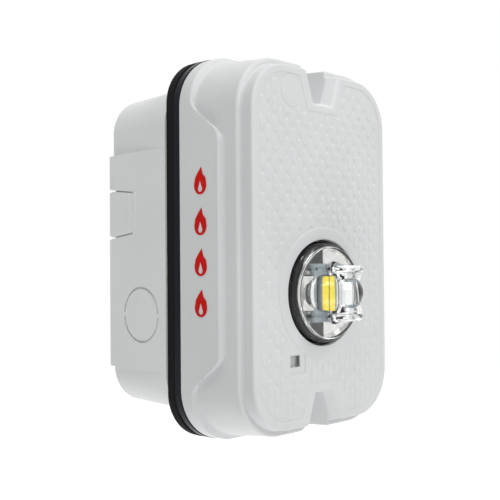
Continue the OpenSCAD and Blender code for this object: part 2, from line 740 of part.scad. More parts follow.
module captive_screw(s) {
    seat = d_lip - 2.4;
    z = s * ch_z;
    difference() {
        union() {
            bar(0, z, 3.1, seat - 3.6, seat - 0.8);
            bar(0, z, 1.72, seat - 0.8, d_lip + 0.6 + screw_travel);
        }
        block(-2.1, 2.1, seat - 5, seat - 2.4, z - 0.4, z + 0.4);
        block(-0.4, 0.4, seat - 5, seat - 2.4, z - 2.1, z + 2.1);
    }
}

module screw_seal(s) {
    seat = d_lip - 2.4;
    difference() {
        bar(0, s * ch_z, 3.2, seat - 0.8, seat);
        bar(0, s * ch_z, 1.78, seat - 2, seat + 1);
    }
}

module captive_screw_top() {
    color([0.75, 0.76, 0.78]) captive_screw(1);
}

module captive_screw_bottom() {
    color([0.75, 0.76, 0.78]) captive_screw(-1);
}

module screw_seal_top() {
    color([0.1, 0.1, 0.1]) screw_seal(1);
}

module screw_seal_bottom() {
    color([0.1, 0.1, 0.1]) screw_seal(-1);
}

back_box();
box_inserts();
ground_bracket();
ground_screw();
gasket();
mounting_plate();
plate_screws();
screw_nuts();
terminal_block();
terminal_screws();
terminal_jaws();
front_housing();
fire_marks();
lens();
lens_seal();
shroud();
reflector();
optic_frame();
frame_screws();
led_emitters();
led_board();
heat_spreader();
led_wires();
main_board();
capacitors();
choke();
ic_chips();
board_screws();
horn_chamber();
piezo_disc();
horn_ring();
contact_blades();
rear_cover();
cover_screws();
tone_switch();
tone_dial();
candela_dial();
candela_window();
screw_seal_top();
captive_screw_top();
screw_seal_bottom();
captive_screw_bottom();
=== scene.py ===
"""Looks of the wall horn strobe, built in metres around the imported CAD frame.

X is to the right, Z is up and the front faces -Y; the wall plane is y = 0. Sizes below are in
millimetres, and depths are counted from the front plate towards the wall, as in the part's source.
"""

import math

import bpy
import bmesh
import numpy as np
from mathutils import Matrix, Vector
from mathutils.geometry import delaunay_2d_cdt


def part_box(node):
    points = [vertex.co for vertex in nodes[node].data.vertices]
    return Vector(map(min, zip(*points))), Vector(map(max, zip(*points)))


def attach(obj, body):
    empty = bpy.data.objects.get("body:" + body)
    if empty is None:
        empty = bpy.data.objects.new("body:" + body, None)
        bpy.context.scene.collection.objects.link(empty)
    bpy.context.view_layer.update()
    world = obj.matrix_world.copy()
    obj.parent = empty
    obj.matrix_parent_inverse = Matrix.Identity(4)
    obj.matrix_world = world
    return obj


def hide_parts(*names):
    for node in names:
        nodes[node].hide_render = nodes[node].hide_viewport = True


MM = 0.001
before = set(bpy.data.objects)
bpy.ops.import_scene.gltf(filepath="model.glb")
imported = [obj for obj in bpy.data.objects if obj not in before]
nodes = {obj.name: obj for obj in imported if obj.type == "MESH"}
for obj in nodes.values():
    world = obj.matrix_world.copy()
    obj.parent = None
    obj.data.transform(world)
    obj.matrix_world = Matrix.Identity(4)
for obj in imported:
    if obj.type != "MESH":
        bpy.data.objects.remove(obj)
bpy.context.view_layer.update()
scene = bpy.context.scene

# Depth 0 is the front plate; the lens stands in front of it.
PLATE_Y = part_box("front_housing")[0].y / MM

# ---- camera ------------------------------------------------------------------------

CAMERA_AT = (-230.1, -273.8, -6.7)
CAMERA_FORWARD = (0.69538, 0.71838, 0.01920)
CAMERA_UP = (-0.00753, -0.01943, 0.99978)
CAMERA_LENS = 56.78


def add_camera():
    forward = Vector(CAMERA_FORWARD).normalized()
    right = forward.cross(Vector(CAMERA_UP)).normalized()
    up = right.cross(forward)
    data = bpy.data.cameras.new("camera")
    data.sensor_width = 36
    data.lens = CAMERA_LENS
    data.clip_start = 0.01
    obj = bpy.data.objects.new("camera", data)
    turn = Matrix((right, up, -forward)).transposed().to_4x4()
    obj.matrix_world = Matrix.Translation(Vector(CAMERA_AT) * MM) @ turn
    scene.collection.objects.link(obj)
    scene.camera = obj


add_camera()

# ---- mesh helpers ------------------------------------------------------------------


def at(x, depth, z):
    """A point from X, depth and Z in millimetres."""
    return (x * MM, (depth + PLATE_Y) * MM, z * MM)


def fillet(before, corner, after, radius, count):
    """Points of the arc that rounds a corner of an outline."""
    p, a, b = (np.array(v, float) for v in (corner, before, after))
    d1 = (a - p) / np.linalg.norm(a - p)
    d2 = (b - p) / np.linalg.norm(b - p)
    half = math.acos(np.clip(d1 @ d2, -1, 1)) / 2
    centre = p + (d1 + d2) / np.linalg.norm(d1 + d2) * radius / math.sin(half)
    start = p + d1 * radius / math.tan(half) - centre
    end = p + d2 * radius / math.tan(half) - centre
    swing = math.atan2(start[0] * end[1] - start[1] * end[0], start @ end)
    a0 = math.atan2(start[1], start[0])
    angles = a0 + np.linspace(0, swing, count)
    return centre + radius * np.column_stack([np.cos(angles), np.sin(angles)])


def rounded(corners):
    """A closed outline in X and Z from its corners.

    Each corner is (x, z, radius, points on its arc, steps on the edge that follows).
    """
    arcs = []
    for i, (x, z, radius, count, _) in enumerate(corners):
        before, after = corners[i - 1][:2], corners[(i + 1) % len(corners)][:2]
        arcs.append(fillet(before, (x, z), after, radius, count))
    points = []
    for i, arc in enumerate(arcs):
        steps, following = corners[i][4], arcs[(i + 1) % len(arcs)][0]
        points.extend(arc)
        for k in range(1, steps):
            points.append(arc[-1] + (following - arc[-1]) * k / steps)
    return np.array(points)


class Shell:
    """Collects faces in space, welds them into one mesh and makes the object."""

    def __init__(self):
        self.points = []
        self.faces = []
        self.count = 0

    def add(self, points, faces):
        self.points.append(np.asarray(points, float).reshape(-1, 3))
        self.faces += [[i + self.count for i in f] for f in faces]
        self.count += len(self.points[-1])

    def loft(self, rings, closed=True, keep=None):
        """Quads between rings of equal length; keep says which steps along the ring are used."""
        n = len(rings[0])
        steps = range(n if closed else n - 1)
        faces = [
            (r * n + i, r * n + (i + 1) % n, (r + 1) * n + (i + 1) % n, (r + 1) * n + i)
            for r in range(len(rings) - 1)
            for i in steps
            if keep is None or keep[i]
        ]
        self.add(np.concatenate([np.asarray(r, float) for r in rings]), faces)

    def sheet(self, boundary, holes, depth):
        """A flat face at one depth, between an outline and the convex holes in it."""
        loops = [boundary, *holes]
        flat = [Vector(p) for loop in loops for p in loop]
        edges, owner, start = [], [], 0
        for k, loop in enumerate(loops):
            n = len(loop)
            edges += [(start + i, start + (i + 1) % n) for i in range(n)]
            owner += [k] * n
            start += n
        out, _, faces, source, _, _ = delaunay_2d_cdt(flat, edges, [], 0, 1e-7)
        owner = [owner[s[0]] if s else 0 for s in source]
        xz = np.array([tuple(p) for p in out])
        kept = []
        for f in faces:
            loops_of_face = {owner[i] for i in f}
            if len(loops_of_face) > 1 or 0 in loops_of_face:
                kept.append(f)
        centres = np.array([xz[list(f)].mean(0) for f in kept])
        inside = within(centres, np.asarray(boundary))
        faces = [f for f, is_inside in zip(kept, inside) if is_inside]
        self.add([at(x, depth, z) for x, z in xz], faces)

    def build(self, name, sharp=32, weld=1.5e-6):
        mesh = bpy.data.meshes.new(name)
        mesh.from_pydata(np.concatenate(self.points).tolist(), [], self.faces)
        bm = bmesh.new()
        bm.from_mesh(mesh)
        bmesh.ops.remove_doubles(bm, verts=bm.verts, dist=weld)
        bmesh.ops.dissolve_degenerate(bm, edges=bm.edges, dist=1e-8)
        bmesh.ops.recalc_face_normals(bm, faces=bm.faces)
        bm.to_mesh(mesh)
        bm.free()
        return finish_mesh(name, mesh, sharp)


def finish_mesh(name, mesh, sharp=32):
    """Smooth shading with sharp edges above an angle, as an object in the scene."""
    for polygon in mesh.polygons:
        polygon.use_smooth = True
    mesh.set_sharp_from_angle(angle=math.radians(sharp))
    obj = bpy.data.objects.new(name, mesh)
    scene.collection.objects.link(obj)
    return obj


def within(points, outline):
    """Which points lie inside a closed outline."""
    x, z = points[:, 0], points[:, 1]
    found = np.zeros(len(points), bool)
    for (x0, z0), (x1, z1) in zip(outline, np.roll(outline, -1, axis=0)):
        if z0 == z1:
            continue
        crosses = (z0 > z) != (z1 > z)
        found ^= crosses & (x < (x1 - x0) * (z - z0) / (z1 - z0) + x0)
    return found


def distance_to(points, outline):
    """Distance from each point to the nearest edge of a closed outline."""
    best = np.full(len(points), np.inf)
    for a, b in zip(outline, np.roll(outline, -1, axis=0)):
        edge = b - a
        length = edge @ edge
        if length == 0:
            continue
        t = np.clip((points - a) @ edge / length, 0, 1)
        best = np.minimum(best, np.linalg.norm(points - a - t[:, None] * edge, axis=1))
    return best


def ring(x, z, radius, depth, count=96):
    """A circle facing the front, as points in space."""
    turns = np.arange(count) * 2 * math.pi / count
    return [at(x + radius * math.cos(t), depth, z + radius * math.sin(t)) for t in turns]


def circle(x, z, radius, count=96):
    """A circle's outline in X and Z."""
    turns = np.arange(count) * 2 * math.pi / count
    return np.column_stack([x + radius * np.cos(turns), z + radius * np.sin(turns)])


def revolve(name, x, z, profile, count=160, sharp=30):
    """A closed profile of (radius, depth) turned about an axis along Y."""
    shell = Shell()
    rings = [ring(x, z, max(r, 1e-4), d, count) for r, d in profile]
    shell.loft(rings + [rings[0]])
    return shell.build(name, sharp, weld=1e-6)


def soften(obj, width, segments=2, angle=30):
    """Rounds the sharp edges of a CAD node by modifiers and keeps its flat faces flat."""
    weld = obj.modifiers.new("weld", "WELD")
    weld.merge_threshold = 2e-6
    bevel = obj.modifiers.new("bevel", "BEVEL")
    bevel.width = width * MM
    bevel.segments = segments
    bevel.limit_method = "ANGLE"
    bevel.angle_limit = math.radians(angle)
    bevel.harden_normals = True
    normals = obj.modifiers.new("normals", "WEIGHTED_NORMAL")
    normals.weight = 100
    normals.keep_sharp = True
    for polygon in obj.data.polygons:
        polygon.use_smooth = True


def boolean(obj, other, operation):
    """Applies one exact boolean and removes the other object."""
    modifier = obj.modifiers.new("cut", "BOOLEAN")
    modifier.object = other
    modifier.operation = operation
    modifier.solver = "EXACT"
    bpy.context.view_layer.update()
    graph = bpy.context.evaluated_depsgraph_get()
    mesh = bpy.data.meshes.new_from_object(obj.evaluated_get(graph))
    obj.modifiers.clear()
    obj.data = mesh
    bpy.data.objects.remove(other)
    for polygon in mesh.polygons:
        polygon.use_smooth = True
    mesh.set_sharp_from_angle(angle=math.radians(28))
    return obj


# ---- materials ---------------------------------------------------------------------


def material(name, colour, roughness, metallic=0.0, ior=1.5):
    """A new material with its nodes, links and shader."""
    made = bpy.data.materials.new(name)
    made.use_nodes = True
    shader = made.node_tree.nodes["Principled BSDF"]
    shader.inputs["Base Color"].default_value = (*colour, 1)
    shader.inputs["Roughness"].default_value = roughness
    shader.inputs["Metallic"].default_value = metallic
    shader.inputs["IOR"].default_value = ior
    return made, made.node_tree.nodes, made.node_tree.links, shader


def noise(tree_nodes, links, scale, detail=3.0, stretch=None):
    """A noise texture over object coordinates, in features per metre."""
    where = tree_nodes.new("ShaderNodeTexCoord")
    texture = tree_nodes.new("ShaderNodeTexNoise")
    texture.inputs["Scale"].default_value = scale
    texture.inputs["Detail"].default_value = detail
    source = where.outputs["Object"]
    if stretch is not None:
        mapping = tree_nodes.new("ShaderNodeMapping")
        mapping.inputs["Scale"].default_value = stretch
        links.new(source, mapping.inputs["Vector"])
        source = mapping.outputs["Vector"]
    links.new(source, texture.inputs["Vector"])
    return texture.outputs["Fac"]


def spread(tree_nodes, links, value, low, high):
    """Maps a 0 to 1 value on to a range of numbers."""
    remap = tree_nodes.new("ShaderNodeMapRange")
    remap.inputs["To Min"].default_value = low
    remap.inputs["To Max"].default_value = high
    links.new(value, remap.inputs["Value"])
    return remap.outputs["Result"]


def tint(tree_nodes, links, value, dark, light, low=0.3, high=0.7):
    """Colours between dark and light by a 0 to 1 value."""
    ramp = tree_nodes.new("ShaderNodeValToRGB")
    ramp.color_ramp.elements[0].position = low
    ramp.color_ramp.elements[0].color = (*dark, 1)
    ramp.color_ramp.elements[1].position = high
    ramp.color_ramp.elements[1].color = (*light, 1)
    links.new(value, ramp.inputs["Fac"])
    return ramp.outputs["Color"]


def bump(tree_nodes, links, shader, height, distance, strength=1.0):
    made = tree_nodes.new("ShaderNodeBump")
    made.inputs["Distance"].default_value = distance
    made.inputs["Strength"].default_value = strength
    links.new(height, made.inputs["Height"])
    links.new(made.outputs["Normal"], shader.inputs["Normal"])


def scaled(colour, factor):
    return tuple(min(1.0, c * factor) for c in colour)


def moulded(name, colour, roughness=0.5, grain=0.02, grain_scale=5200, vary=0.03):
    """Moulded plastic: a fine spark-eroded grain, a faint cloudy tone and an uneven gloss."""
    made, n, links, shader = material(name, colour, roughness)
    cloud = noise(n, links, 28, 4)
    links.new(
        tint(n, links, cloud, scaled(colour, 1 - vary), scaled(colour, 1 + vary)),
        shader.inputs["Base Color"],
    )
    fine = noise(n, links, grain_scale, 2)
    links.new(
        spread(n, links, cloud, roughness - 0.05, roughness + 0.06),
        shader.inputs["Roughness"],
    )
    bump(n, links, shader, fine, grain * MM, 0.35)
    return made


def metal(name, colour, roughness=0.28, stretch=(1, 1, 1), scale=900):
    """Bare or plated metal with fine working marks."""
    made, n, links, shader = material(name, colour, roughness, 1.0)
    marks = noise(n, links, scale, 3, stretch)
    links.new(
        tint(n, links, marks, scaled(colour, 0.9), scaled(colour, 1.04)),
        shader.inputs["Base Color"],
    )
    links.new(
        spread(n, links, marks, roughness * 0.75, roughness * 1.35),
        shader.inputs["Roughness"],
    )
    bump(n, links, shader, marks, 0.01 * MM, 0.4)
    return made


def with_specular(made, level):
    """The same material with a weaker mirror-like sheen than plain plastic's 0.5."""
    shader = made.node_tree.nodes["Principled BSDF"]
    shader.inputs["Specular IOR Level"].default_value = level
    return made


def rubber(name, colour):
    return with_specular(moulded(name, colour, 0.72, 0.05, 2600, 0.12), 0.1)


def clear(name, tone, roughness, ior=1.5):
    """Clear moulded plastic, with the faint unevenness of a moulded surface."""
    made, n, links, shader = material(name, tone, roughness, 0.0, ior)
    shader.inputs["Transmission Weight"].default_value = 1.0
    swirl = noise(n, links, 160, 2)
    links.new(
        spread(n, links, swirl, roughness * 0.6, roughness * 1.6),
        shader.inputs["Roughness"],
    )
    bump(n, links, shader, swirl, 0.02 * MM, 0.25)
    return made


def paint_node(name, made):
    """Gives a CAD node its material."""
    obj = nodes[name]
    obj.data.materials.clear()
    obj.data.materials.append(made)


WHITE = (0.70, 0.71, 0.715)
white_cover = moulded("cover_white", WHITE, 0.46, 0.02)
white_box = moulded("box_grey_white", (0.775, 0.79, 0.79), 0.52, 0.03)
black_gloss = moulded("black_gloss", (0.0022, 0.0032, 0.0075), 0.2, 0.008, 3000, 0.3)
with_specular(black_gloss, 0.09)
black_satin = moulded("black_satin", (0.010, 0.010, 0.011), 0.42, 0.02, 4000, 0.2)
with_specular(black_satin, 0.2)
charcoal = rubber("charcoal_rubber", (0.0045, 0.004, 0.005))
steel = metal("zinc_steel", (0.62, 0.63, 0.65), 0.3)
brass = metal("brass_metal", (0.72, 0.50, 0.22), 0.26)
aluminium = metal("spreader_aluminium", (0.78, 0.79, 0.80), 0.34, (1, 1, 14))
copper = metal("enamelled_copper", (0.45, 0.17, 0.06), 0.3, (1, 30, 1), 500)
red_print = moulded("red_print", (0.62, 0.008, 0.006), 0.5, 0.01, 3000, 0.06)
with_specular(red_print, 0.08)
red_wire = moulded("red_wire", (0.45, 0.01, 0.01), 0.3, 0.005, 2500, 0.05)
green_paint = moulded("green_paint", (0.03, 0.20, 0.06), 0.34, 0.01, 3000, 0.06)
terminal_blue = moulded("terminal_blue", (0.03, 0.055, 0.12), 0.4, 0.02, 3500, 0.08)
switch_blue = moulded("switch_blue", (0.02, 0.06, 0.26), 0.4, 0.02, 3500, 0.08)
chip_black = moulded("chip_black", (0.012, 0.012, 0.013), 0.5, 0.03, 2600, 0.15)
sleeve_dark = moulded("sleeve_dark", (0.02, 0.022, 0.045), 0.26, 0.006, 1500, 0.1)
board_dark = moulded("board_dark", (0.05, 0.055, 0.055), 0.35, 0.01, 3000, 0.03)
pale_frame = moulded("pale_frame", (0.42, 0.50, 0.53), 0.42, 0.01, 3000, 0.04)
clear_lens = clear("clear_lens", (0.93, 0.938, 0.94), 0.012, 1.49)
clear_window = clear("clear_window", (0.93, 0.96, 0.97), 0.06, 1.45)

# The yellow window in each LED array's body: middle and half width in X, half height in Z.
PHOSPHOR_MIDDLE = 2.0
PHOSPHOR_HALF_WIDTH = 1.7
PHOSPHOR_HALF_HEIGHT = 3.8


def silvered():
    """Vacuum-silvered reflector, slightly warm, with faint orange-peel."""
    made, n, links, shader = material("silvered", (0.86, 0.85, 0.82), 0.16, 1.0)
    peel = noise(n, links, 420, 2)
    links.new(
        tint(n, links, peel, (0.80, 0.79, 0.76), (0.90, 0.89, 0.87)),
        shader.inputs["Base Color"],
    )
    links.new(spread(n, links, peel, 0.1, 0.24), shader.inputs["Roughness"])
    bump(n, links, shader, peel, 0.05 * MM, 0.35)
    return made


def phosphor_and_painted_glow():
    """Yellow phosphor windows in the pale bodies of a pair of LED arrays, with a painted glow: the
    windows emit a faint yellow light though the LEDs are not lit.
    """
    made, n, links, shader = material("yellow_phosphor_painted_glow", (0.86, 0.70, 0.01), 0.45)

    def math_node(operation, value, second=0.0):
        node = n.new("ShaderNodeMath")
        node.operation = operation
        links.new(value, node.inputs[0])
        node.inputs[1].default_value = second
        return node.outputs["Value"]

    where = n.new("ShaderNodeTexCoord")
    split = n.new("ShaderNodeSeparateXYZ")
    links.new(where.outputs["Object"], split.inputs["Vector"])
    across = math_node("ABSOLUTE", split.outputs["X"])
    across = math_node("ABSOLUTE", math_node("SUBTRACT", across, PHOSPHOR_MIDDLE * MM))
    along = math_node("ABSOLUTE", math_node("SUBTRACT", split.outputs["Z"], LENS_Z * MM))
    lit = n.new("ShaderNodeMath")
    lit.operation = "MULTIPLY"
    links.new(math_node("LESS_THAN", across, PHOSPHOR_HALF_WIDTH * MM), lit.inputs[0])
    links.new(math_node("LESS_THAN", along, PHOSPHOR_HALF_HEIGHT * MM), lit.inputs[1])
    speck = noise(n, links, 1800, 3)
    mix = n.new("ShaderNodeMix")
    mix.data_type = "RGBA"
    links.new(lit.outputs["Value"], mix.inputs["Factor"])
    mix.inputs["A"].default_value = (0.36, 0.40, 0.41, 1)
    links.new(
        tint(n, links, speck, (0.80, 0.60, 0.008), (0.92, 0.78, 0.015)), mix.inputs["B"]
    )
    links.new(mix.outputs["Result"], shader.inputs["Base Color"])
    # painted glow: the yellow windows emit a faint light of their own, though the LEDs are switched
    # off
    shader.inputs["Emission Color"].default_value = (0.95, 0.78, 0.02, 1)
    links.new(math_node("MULTIPLY", lit.outputs["Value"], 0.35), shader.inputs["Emission Strength"])
    shader.inputs["Specular IOR Level"].default_value = 0.2
    bump(n, links, shader, speck, 0.02 * MM, 0.3)
    return made


def circuit_board():
    """Green board with a faint pattern of tracks under the solder mask."""
    made, n, links, shader = material("circuit_board", (0.02, 0.14, 0.06), 0.32)
    where = n.new("ShaderNodeTexCoord")
    tracks = n.new("ShaderNodeTexBrick")
    tracks.inputs["Scale"].default_value = 160
    tracks.inputs["Mortar Size"].default_value = 0.04
    tracks.inputs["Color1"].default_value = (0.015, 0.11, 0.045, 1)
    tracks.inputs["Color2"].default_value = (0.022, 0.15, 0.062, 1)
    tracks.inputs["Mortar"].default_value = (0.05, 0.24, 0.10, 1)
    mapping = n.new("ShaderNodeMapping")
    mapping.inputs["Rotation"].default_value = (math.radians(90), 0, 0)
    links.new(where.outputs["Object"], mapping.inputs["Vector"])
    links.new(mapping.outputs["Vector"], tracks.inputs["Vector"])
    links.new(tracks.outputs["Color"], shader.inputs["Base Color"])
    bump(n, links, shader, noise(n, links, 900, 2), 0.02 * MM, 0.3)
    return made


def dial_plastic(mark_depth):
    """White dial whose raised marks are inked dark."""
    made, n, links, shader = material("dial_white", (0.75, 0.75, 0.72), 0.4)
    where = n.new("ShaderNodeTexCoord")
    split = n.new("ShaderNodeSeparateXYZ")
    inked = n.new("ShaderNodeMath")
    inked.operation = "LESS_THAN"
    inked.inputs[1].default_value = (mark_depth + PLATE_Y) * MM
    links.new(where.outputs["Object"], split.inputs["Vector"])
    links.new(split.outputs["Y"], inked.inputs[0])
    mix = n.new("ShaderNodeMix")
    mix.data_type = "RGBA"
    links.new(inked.outputs["Value"], mix.inputs["Factor"])
    cloud = noise(n, links, 60, 3)
    links.new(
        tint(n, links, cloud, (0.72, 0.72, 0.69), (0.78, 0.78, 0.75)), mix.inputs["A"]
    )
    mix.inputs["B"].default_value = (0.02, 0.02, 0.02, 1)
    links.new(mix.outputs["Result"], shader.inputs["Base Color"])
    bump(n, links, shader, noise(n, links, 3000, 2), 0.01 * MM, 0.3)
    return made


# ---- front housing -----------------------------------------------------------------

# steps along the parts of the cover's outline
ARC_STEPS = 22
FILLET_STEPS = 6
SIDE_STEPS = 150
TOP_STEPS = 10
WALL_STEPS = 6
FLOOR_STEPS = 5
NOTCH_SLOPE = 0.336
# the notch where it opens in the plate: height of its floor and half width there
NOTCH_FLOOR_Z = 54.4
NOTCH_MOUTH = 5.5
# the screw channel behind the plate: height of its floor and half width
CHANNEL_Z = 55.8
CHANNEL_HALF = 2.3
CHANNEL_FLOOR = 24.1
SCREW_Z = 62.5
# half width, half height and corner radius of the cover's outlines, from front to back
PLATE = (38.3, 66.9, 17.9)
SHOULDER = (40.9, 69.9, 21.0)
BODY_BACK = (42.75, 72.0, 22.3)
SKIRT_FRONT = (43.7, 72.5, 20.5)
SKIRT_BACK = (44.2, 73.75, 21.0)
SHELF_INSIDE = (39.2, 67.6, 19.0)
RIM_INSIDE = (41.9, 71.8, 18.9)
FACE_INSIDE = (35.7, 64.2, 15.5)
WALL = 2.4
# rounding of the plate's edge and of the shoulder's
PLATE_ROUND = 0.95
SHOULDER_ROUND = 1.35
# how fast the notch widens when the outline is drawn in, for an even border
NOTCH_INSET = 1.05
LENS_Z = -17.4
OPENING_R = 20.2
RING_R = 24.9
# x, z and radius of the round boss
DISC = (-17.2, 57.6, 5.9)
# depth of the patterned field, and width of the plain border round it
FIELD = 0.3
BORDER = 2.75


def grown(size, by):
    """An outline's half sizes and corner radius, all larger by the same amount."""
    return tuple(v + by for v in size)


def between(a, b, t):
    return tuple(p + (q - p) * t for p, q in zip(a, b))


def outline(size, mouth, floor_z, flat=False, corner=1.1):
    """Cover outline in X and Z with a notch in its top and bottom edge.

    mouth is the notch's half width at its floor, floor_z. With flat=True the same points lie
    along the straight edge, so that rings with and without the notch match up.
    """
    w, h, r = size
    edge = mouth + (h - floor_z) * NOTCH_SLOPE
    f, s = FILLET_STEPS, WALL_STEPS

    def notch(sign):
        return [
            (sign * edge, sign * h, corner, f, s),
            (sign * mouth, sign * floor_z, corner, f, FLOOR_STEPS),
            (-sign * mouth, sign * floor_z, corner, f, s),
            (-sign * edge, sign * h, corner, f, TOP_STEPS),
        ]

    corners = [(w, -h, r, ARC_STEPS, SIDE_STEPS), (w, h, r, ARC_STEPS, TOP_STEPS)]
    corners += notch(1)
    corners += [(-w, h, r, ARC_STEPS, SIDE_STEPS), (-w, -h, r, ARC_STEPS, TOP_STEPS)]
    corners += notch(-1)
    points = rounded(corners)
    if flat:
        for i0, i1, sign in ((*NOTCH_TOP, 1), (*NOTCH_BOTTOM, -1)):
            path = points[i0 : i1 + 1]
            run = np.r_[0, np.cumsum(np.linalg.norm(np.diff(path, axis=0), axis=1))]
            points[i0 : i1 + 1, 0] = path[0, 0] + (path[-1, 0] - path[0, 0]) * run / run[-1]
            points[i0 : i1 + 1, 1] = sign * h
    return points


# index of the first and last point of each notch in an outline
NOTCH_TOP = [2 * ARC_STEPS + SIDE_STEPS - 1 + TOP_STEPS - 1] * 2
NOTCH_TOP[1] += 4 * FILLET_STEPS + 2 * (WALL_STEPS - 1) + FLOOR_STEPS - 2
HALF_LOOP = NOTCH_TOP[1] + TOP_STEPS
NOTCH_BOTTOM = [HALF_LOOP + i for i in NOTCH_TOP]


def mouth_at(depth):
    """Half width of the notch at its floor: flared from the plate to the ridge, then straight."""
    halves = [NOTCH_MOUTH, 2.45, CHANNEL_HALF, CHANNEL_HALF]
    return float(np.interp(depth, [0, 3.3, 3.9, CHANNEL_FLOOR], halves))


def notch_floor_at(depth):
    """Height of the notch's floor, which rises towards the screw."""
    heights = [NOTCH_FLOOR_Z, 54.6, 55.6, CHANNEL_Z]
    return float(np.interp(depth, [0, 0.9, 3.6, CHANNEL_FLOOR], heights))


def lifted(points, depth):
    return [at(x, depth, z) for x, z in points]


def cover_ring(size, depth, corner=1.1):
    return outline(size, mouth_at(depth), notch_floor_at(depth), corner=corner)


# depth of the side pad's front edge, and of the skirt's above and below it
PAD_EDGE = 11.4
SKIRT_EDGE = 26.4


def pad_front_table():
    """Depth of the front edge of the skirt and its side pads against height, softly bent."""
    height = np.arange(0, 90, 0.1)
    raw = np.interp(height, [0, 39.6, 50.2, 90], [PAD_EDGE, PAD_EDGE, SKIRT_EDGE, SKIRT_EDGE])
    box = np.ones(45) / 45
    full = np.concatenate([raw[::-1], raw, np.full(100, SKIRT_EDGE)])
    smooth = np.convolve(np.convolve(full, box, "same"), box, "same")
    return height, smooth[len(raw) : 2 * len(raw)]


PAD_HEIGHT, PAD_FRONT = pad_front_table()
PAD_SLOPE = np.abs(np.gradient(PAD_FRONT, PAD_HEIGHT))


def side_ring(depth, flat):
    """The cover's outline behind the shoulder: the body with the skirt and pads over it."""
    body = outline(
        between(SHOULDER, BODY_BACK, np.clip((depth - 6.2) / 20.2, 0, 1.05)),
        mouth_at(depth),
        notch_floor_at(depth),
        flat,
    )
    skirt = outline(
        between(SKIRT_FRONT, SKIRT_BACK, np.clip((depth - PAD_EDGE) / 21.6, -0.3, 1)),
        mouth_at(depth),
        notch_floor_at(depth),
        flat,
    )
    z = np.abs(body[:, 1])
    front = np.interp(z, PAD_HEIGHT, PAD_FRONT)
    width = 1.9 * np.sqrt(1 + np.interp(z, PAD_HEIGHT, PAD_SLOPE) ** 2)
    t = np.clip((depth - front) / width + 0.5, 0, 1)
    share = (t * t * (3 - 2 * t))[:, None]
    return lifted(body * (1 - share) + skirt * share, depth)


def stadium(x, low, high, half, inset, count=24):
    """Outline of an upright pill between two heights."""
    r = half - inset
    turns = np.linspace(0, math.pi, count // 2)
    top = np.column_stack([x + r * np.cos(turns), high - half + r * np.sin(turns)])
    bottom = np.column_stack([x - r * np.cos(turns), low + half - r * np.sin(turns)])
    return np.concatenate([top, bottom])


# the plate's raised pills: spacing of the columns and rows, size, and the gap to a border
PILL_PITCH = 3.25
PILL_COLUMN = -0.35
PILL_PERIOD = 7.0
PILL_FOOT = -0.85
PILL_LENGTH = 6.1
PILL_HALF = 1.28
PILL_GAP = 0.42
PILL_SHORTEST = 3.0


def pills(field, keep_out):
    """Places of the raised pills as (x, low, high): staggered columns, cut short at a border."""
    found = []
    for column in range(-11, 12):
        x = PILL_COLUMN + column * PILL_PITCH
        stagger = PILL_PERIOD / 2 if column % 2 else 0
        for row in range(-11, 11):
            low = PILL_FOOT - stagger + row * PILL_PERIOD
            heights = np.arange(low + PILL_HALF, low + PILL_LENGTH - PILL_HALF, 0.05)
            line = np.column_stack([np.full(len(heights), x), heights])
            room = np.minimum.reduce([distance_to(line, k) for k in keep_out + [field]])
            free = within(line, field) & (room > PILL_HALF + PILL_GAP)
            for k in keep_out:
                free &= ~within(line, k)
            used = heights[free]
            if len(used) < 2 or used[-1] - used[0] > 0.05 * len(used):
                continue
            if used[-1] - used[0] + 2 * PILL_HALF >= PILL_SHORTEST:
                found.append((x, used[0] - PILL_HALF, used[-1] + PILL_HALF))
    return found


def box_outline(x0, x1, z0, z1, radius=0.5, count=5):
    return rounded(
        [
            (x1, z0, radius, count, 1),
            (x1, z1, radius, count, 1),
            (x0, z1, radius, count, 1),
            (x0, z0, radius, count, 1),
        ]
    )


def ring_levels(shell, x, z, levels, count=96):
    shell.loft([ring(x, z, r, d, count) for r, d in levels])


# x and z limits of the shallow recess and of the little window in it
LEDGE = (-19.2, -11.1, -46.9, -39.9)
WINDOW = (-19.2, -13.7, -44.4, -39.9)


def plate_face(shell, edge):
    """The patterned field with its raised ring, disc, pills and the recess of the little window."""
    ring_outline = circle(0, LENS_Z, RING_R)
    disc_outline = circle(DISC[0], DISC[1], DISC[2], 64)
    x0, x1, z0, z1 = LEDGE
    recess = box_outline(x0 - 0.15, x1 + 0.15, z0 - 0.15, z1 + 0.15, 0.6)
    keep_out = [ring_outline, disc_outline, recess]
    bumps = pills(edge, keep_out)
    feet = [stadium(x, a, b, PILL_HALF, 0) for x, a, b in bumps]
    shell.sheet(edge, keep_out + feet, FIELD)
    for x, a, b in bumps:
        steps = [(0, FIELD), (0.1, 0.22), (0.3, 0.11), (0.6, 0.03), (0.9, 0.0)]
        rings = [lifted(stadium(x, a, b, PILL_HALF, i), d) for i, d in steps]
        shell.loft(rings)
        top = rings[-1]
        n = len(top)
        shell.add(top, [(i, i + 1, n - 2 - i, n - 1 - i) for i in range(n // 2 - 1)])
    # flat ring round the strobe, rounded into the opening
    ring_levels(
        shell,
        0,
        LENS_Z,
        [
            (RING_R, FIELD),
            (RING_R - 0.1, 0.12),
            (RING_R - 0.3, 0.02),
            (RING_R - 0.6, 0.0),
            (OPENING_R + 0.55, 0.0),
            (OPENING_R + 0.2, 0.08),
            (OPENING_R + 0.03, 0.28),
            (OPENING_R, 0.6),
            (OPENING_R, WALL),
        ],
    )
    # plain round boss with one turned groove
    x, z, r = DISC
    ring_levels(
        shell,
        x,
        z,
        [
            (r, FIELD),
            (r - 0.1, 0.1),
            (r - 0.35, 0.0),
            (r - 0.75, 0.0),
            (r - 0.95, 0.1),
            (r - 1.15, 0.1),
            (r - 1.35, 0.02),
            (r - 1.6, 0.0),
        ],
        64,
    )
    shell.add(ring(x, z, r - 1.6, 0.0, 64), [list(range(64))])
    window_recess(shell, recess)


def window_hole():
    x0, x1, z0, z1 = WINDOW
    return box_outline(x0 + 0.25, x1, z0, z1 - 0.25, 0.25)


